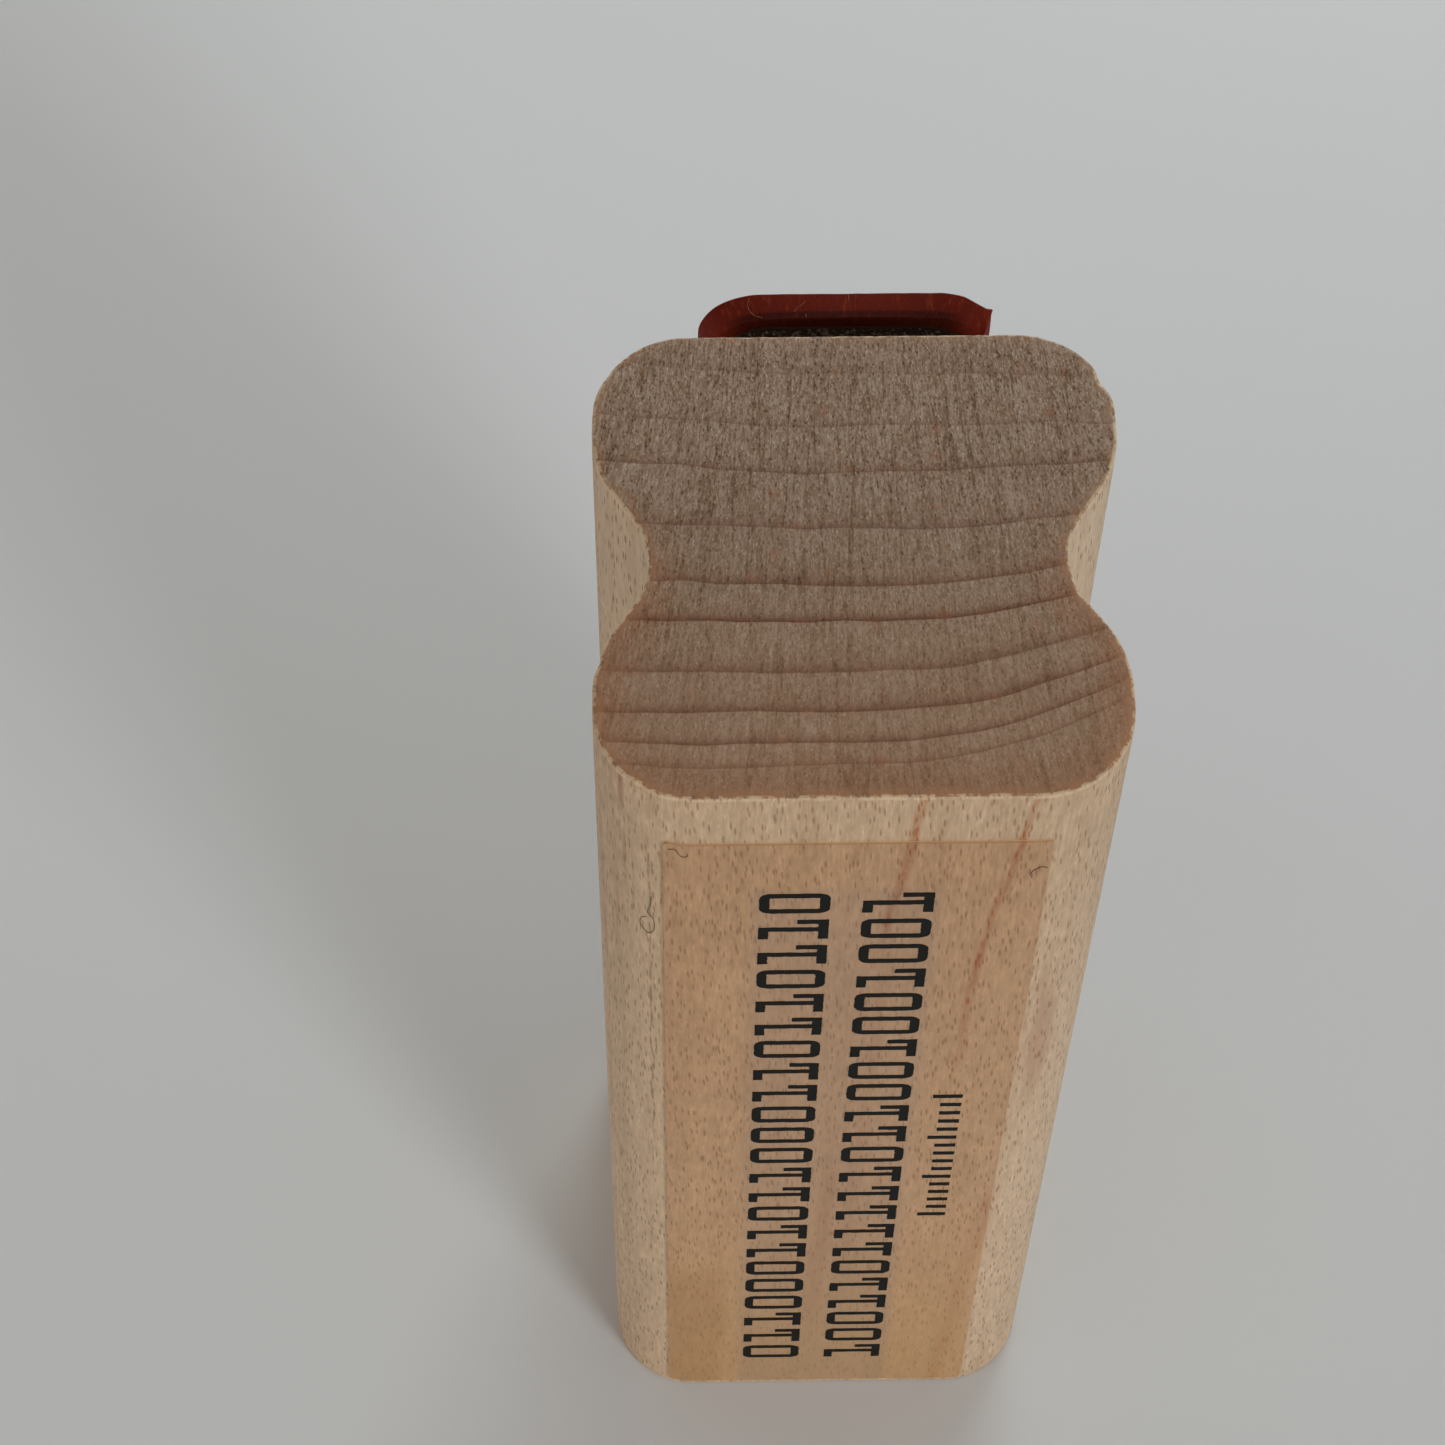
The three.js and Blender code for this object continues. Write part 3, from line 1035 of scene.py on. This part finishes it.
def build_foam(material):
    low, high = (FOAM_LOW.x, FOAM_LOW.z), (FOAM_HIGH.x, FOAM_HIGH.z)
    outline = corner_outline(low, high, FOAM_CORNER_RADIUS, FOAM_STEP)
    skin = Skin()
    loops = []
    for row in range(FOAM_ROWS + 1):
        y = FOAM_LOW.y + (FOAM_HIGH.y - FOAM_LOW.y) * row / FOAM_ROWS
        loops.append(inset_loop(skin, outline, y, lambda place: foam_inset(place, y)))
    skin.tube(loops)
    piece = skin.make_piece("foam_sheet", material)
    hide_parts("foam_cushion")


# How far the rubber's trimmed side slopes in towards the foam: at the sheet's middle, and how much more at
# its sides. The knife wavered a little too.
CUT_SLOPE = 0.16
CUT_SLOPE_MORE = 0.45
CUT_WAVER = 0.05

# The sheet's levels from back to front, as shares of its thickness, with how far its edge is rounded there.
SHEET_LEVELS = ((0.0, 0.08), (0.04, 0.0), (0.25, 0.0), (0.5, 0.0), (0.75, 0.0), (0.95, 0.0), (1.0, 0.06))


def cut_inset(place, share):
    """How far the trimmed side slopes in. share is 0 at the back of the sheet and 1 at its front."""
    slope = CUT_SLOPE + CUT_SLOPE_MORE * min(1.0, abs(place.x) / 7.0) ** 2
    waver = CUT_WAVER * noise.noise(Vector((place.x * 0.8, share, place.y * 0.8)))
    return slope * (1 - share) + abs(waver)


def add_sheet(skin):
    """The trimmed sheet itself, without the digits."""
    outline = die_outline()
    loops = []
    for share, rounding in SHEET_LEVELS:
        y = DIE_LOW.y + (SHEET_FRONT - DIE_LOW.y) * share
        loops.append(inset_loop(skin, outline, y, lambda place: cut_inset(place, share) + rounding))
    skin.tube(loops)


# The raised digits' levels from their root inside the sheet: how much wider they are there, and y.
RELIEF_LEVELS = (
    (0.3, SHEET_FRONT - 0.1),
    (0.26, SHEET_FRONT + 0.02),
    (0.14, SHEET_FRONT + 0.12),
    (0.08, SHEET_FRONT + 0.5),
    (0.02, DIE_HIGH.y - 0.04),
    (-0.02, DIE_HIGH.y),
)
RELIEF_STEP = 0.5


def build_die(material):
    """The rubber sheet with its raised digits, whose sides flare towards the sheet."""
    skin = Skin()
    add_sheet(skin)
    for column, _ in enumerate(COLUMN_CENTRES):
        for row in range(DIGIT_ROWS):
            add_digit(skin, row, column, TOP / 2, RELIEF_LEVELS, RELIEF_STEP)
    piece = skin.make_piece("rubber_sheet", material)
    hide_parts("rubber_die")


def dress_glue_layers(material):
    """The two glue layers of the cushion keep their CAD shape."""
    for name in ("block_adhesive_film", "die_adhesive_film"):
        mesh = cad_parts[name].data
        mesh.materials.clear()
        mesh.materials.append(material)


# ---- lint

# Fine dark hairs caught on the front, as (x, distance below the top) along each.
FRONT_HAIRS = (
    ((-9.2, 5.15), (-8.95, 5.0), (-8.78, 5.15), (-8.7, 5.5), (-8.5, 5.72), (-8.3, 5.6), (-8.3, 5.35)),
    ((8.15, 8.3), (8.1, 7.8), (8.3, 7.4), (8.6, 7.2), (8.85, 7.45)),
    ((-10.05, 11.2), (-10.1, 12.4), (-10.25, 13.2), (-9.95, 13.8), (-9.95, 15.0), (-10.25, 15.6),
     (-10.6, 15.0), (-10.55, 14.2), (-10.3, 13.8)),
)
# Fine pale hairs across the top of the rubber sheet's trimmed side, as (x, y) along each.
RUBBER_HAIRS = (
    ((-4.85, 17.15), (-4.95, 16.8), (-4.8, 16.4), (-4.5, 16.15), (-4.2, 16.05)),
    ((-2.05, 16.85), (-2.25, 16.65), (-2.45, 16.5), (-2.65, 16.3)),
    ((-2.06, 16.15), (-2.02, 15.98)),
    ((0.1, 17.25), (0.14, 17.05), (0.1, 16.87)),
)
HAIR_RADIUS = 0.017
HAIR_TIP = 0.4
HAIR_SIDES = 5
HAIR_STEPS = 5


def smooth_path(points):
    """Points along a smooth curve through the given ones."""
    path = []
    for index in range(len(points) - 1):
        before = points[max(index - 1, 0)]
        start, end = points[index], points[index + 1]
        after = points[min(index + 2, len(points) - 1)]
        for step in range(HAIR_STEPS):
            share = step / HAIR_STEPS
            bend_in = (end - before) * 0.5
            bend_out = (after - start) * 0.5
            straight = end - start
            square = (straight * 3 - bend_in * 2 - bend_out) * share ** 2
            cube = (bend_in + bend_out - straight * 2) * share ** 3
            path.append(start + bend_in * share + square + cube)
    return path + [points[-1]]


def add_hair(skin, points):
    """A thin round tube, closed and narrower at both ends."""
    path = smooth_path([Vector(point) for point in points])
    side = Vector((0.3, 0.9, 0.2))
    loops = []
    for index, point in enumerate(path):
        along = (path[min(index + 1, len(path) - 1)] - path[max(index - 1, 0)]).normalized()
        across = along.cross(side).normalized()
        side = across.cross(along).normalized()
        radius = HAIR_RADIUS * (HAIR_TIP if index in (0, len(path) - 1) else 1.0)
        ring = []
        for part in range(HAIR_SIDES):
            angle = 2 * math.pi * part / HAIR_SIDES
            spoke = across * math.cos(angle) - side * math.sin(angle)
            ring.append(point + spoke * radius)
        loops.append(skin.loop(ring))
    skin.tube(loops)


def hair_on_front(hair):
    """A hair's points lying on the label, or on the wood around it."""
    label_top = TOP - LABEL_HIGH.z
    points = []
    for x, depth in hair:
        on_label = LABEL_LOW.x < x < LABEL_HIGH.x and depth > label_top
        offset = LABEL_FRONT_OFFSET if on_label else 0.0
        points.append((*front_of_block(x, offset + HAIR_RADIUS), TOP - depth))
    return points


def hair_on_rubber(hair):
    """A hair's points lying on the sloping upper side of the rubber sheet."""
    points = []
    for x, y in hair:
        share = (y - DIE_LOW.y) / (SHEET_FRONT - DIE_LOW.y)
        beyond = max(0.0, DIE_LOW.x + DIE_CORNER_RADIUS - x)
        drop = DIE_CORNER_RADIUS - math.sqrt(DIE_CORNER_RADIUS ** 2 - beyond ** 2)
        top = DIE_HIGH.z - drop - cut_inset(Vector((x, DIE_HIGH.z)), share)
        points.append((x, y, top + HAIR_RADIUS / 2))
    return points


def build_lint(name, hairs, material):
    skin = Skin()
    for hair in hairs:
        add_hair(skin, hair)
    piece = skin.make_piece(name, material)


# ---- stage

# The floor's half width in metres, and its glow, which rises between two distances from the stamp.
FLOOR_HALF = 2.0
FLOOR_GLOW = 0.34
GLOW_START = 250.0
GLOW_END = 1000.0


def build_floor():
    """A pale floor. Beyond the reach of the lights it glows a little, so that it meets the backdrop."""
    graph = Graph("pale_floor")
    x, y, z = graph.place()
    cloud = graph.noise((x * 0.01, y * 0.01, z), 2.0)
    base = graph.mix(cloud, (218, 218, 217), (222, 222, 221))
    material = graph.finish(base, 0.65, specular=0.2)
    material.cycles.emission_sampling = "NONE"
    glow = graph.fade((x * x + y * y) ** 0.5, GLOW_START, GLOW_END) * FLOOR_GLOW
    graph.shader.inputs["Emission Color"].default_value = (1.0, 1.0, 1.0, 1.0)
    graph.feed(graph.shader.inputs["Emission Strength"], glow)
    half = FLOOR_HALF
    mesh = bpy.data.meshes.new("floor")
    corners = [(-half, -half, 0), (half, -half, 0), (half, half, 0), (-half, half, 0)]
    mesh.from_pydata(corners, [], [(0, 1, 2, 3)])
    mesh.materials.append(material)
    floor = bpy.data.objects.new("floor", mesh)
    bpy.context.collection.objects.link(floor)


# Soft lights: name, direction towards it, distance and width in metres, watts and tint.
LIGHTS = (
    ("window", (0.60, -0.80, 0.577), 1.2, 0.36, 4.5, (0.95, 1.0, 1.04)),
    ("left_front", (-1.0, -0.6, 0.8), 1.1, 1.2, 1.7, (1.06, 1.0, 0.9)),
    ("front_low", (-0.3, -1.0, 0.22), 1.0, 0.8, 1.1, (1.02, 1.0, 0.94)),
    ("left_back", (-1.0, 0.8, 1.4), 1.1, 1.0, 1.3, (1.08, 1.0, 0.96)),
    ("back", (0.3, 1.0, 0.6), 0.45, 0.3, 0.85, (0.92, 1.0, 1.02)),
    ("right", (1.0, 0.0, 1.73), 1.1, 1.0, 1.2, (1.05, 1.0, 0.97)),
)
ROOM_LIGHT = 0.06
BACKDROP = 0.5


def add_light(name, direction, distance, size, watts, tint):
    """A round area light that faces the stamp."""
    data = bpy.data.lights.new(name, "AREA")
    data.shape = "DISK"
    data.size = size
    data.energy = watts
    data.color = tint
    lamp = bpy.data.objects.new(name, data)
    towards = Vector(direction).normalized()
    lamp.location = towards * distance
    lamp.rotation_euler = towards.to_track_quat("Z", "Y").to_euler()
    lamp.visible_camera = False
    bpy.context.collection.objects.link(lamp)


def build_room():
    """Faint light from all round, and a pale backdrop for the camera where the floor ends."""
    world = bpy.data.worlds.new("soft_room")
    world.use_nodes = True
    tree = world.node_tree
    background = tree.nodes["Background"]
    background.inputs["Color"].default_value = (1.0, 1.0, 1.0, 1.0)
    seen = tree.nodes.new("ShaderNodeLightPath").outputs["Is Camera Ray"]
    strength = tree.nodes.new("ShaderNodeMath")
    strength.operation = "MULTIPLY_ADD"
    tree.links.new(seen, strength.inputs[0])
    strength.inputs[1].default_value = BACKDROP - ROOM_LIGHT
    strength.inputs[2].default_value = ROOM_LIGHT
    tree.links.new(strength.outputs[0], background.inputs["Strength"])
    bpy.context.scene.world = world


# The camera looks down on the stamp from the front, a little to the left of it. Angles are in degrees.
CAMERA_PLACE = (-9.33, -98.78, 253.54)
CAMERA_PITCH = 62.21
CAMERA_YAW = 1.72
CAMERA_ROLL = 0.93
CAMERA_LENS = 103.6


def build_camera():
    data = bpy.data.cameras.new("camera")
    data.sensor_width = 36.0
    data.lens = CAMERA_LENS
    data.clip_start = 0.01
    camera = bpy.data.objects.new("camera", data)
    turn = Matrix.Rotation(math.radians(-CAMERA_YAW), 4, "Z")
    tilt = Matrix.Rotation(math.radians(90 - CAMERA_PITCH), 4, "X")
    roll = Matrix.Rotation(math.radians(CAMERA_ROLL), 4, "Z")
    camera.matrix_world = Matrix.Translation(Vector(CAMERA_PLACE) * MM) @ turn @ tilt @ roll
    bpy.context.collection.objects.link(camera)
    bpy.context.scene.camera = camera
    bpy.context.scene.view_settings.view_transform = "Standard"


build_camera()
build_room()
for light in LIGHTS:
    add_light(*light)
build_floor()

label_glue = glue_material("clear_adhesive", (214, 182, 140), (236, 208, 168))
cushion_glue = glue_material("cushion_adhesive", (40, 26, 18), (66, 44, 32))
ink = ink_material()
build_block(wood_material())
build_label(label_material(), label_glue)
build_print(ink)
build_rule(ink)
build_foam(foam_material())
build_die(rubber_material())
dark_lint = lint_material("dark_lint", (56, 40, 28), (112, 90, 70))
pale_lint = lint_material("pale_lint", (128, 70, 54), (168, 118, 98))
build_lint("lint_on_front", [hair_on_front(hair) for hair in FRONT_HAIRS], dark_lint)
build_lint("lint_on_rubber", [hair_on_rubber(hair) for hair in RUBBER_HAIRS], pale_lint)
dress_glue_layers(cushion_glue)
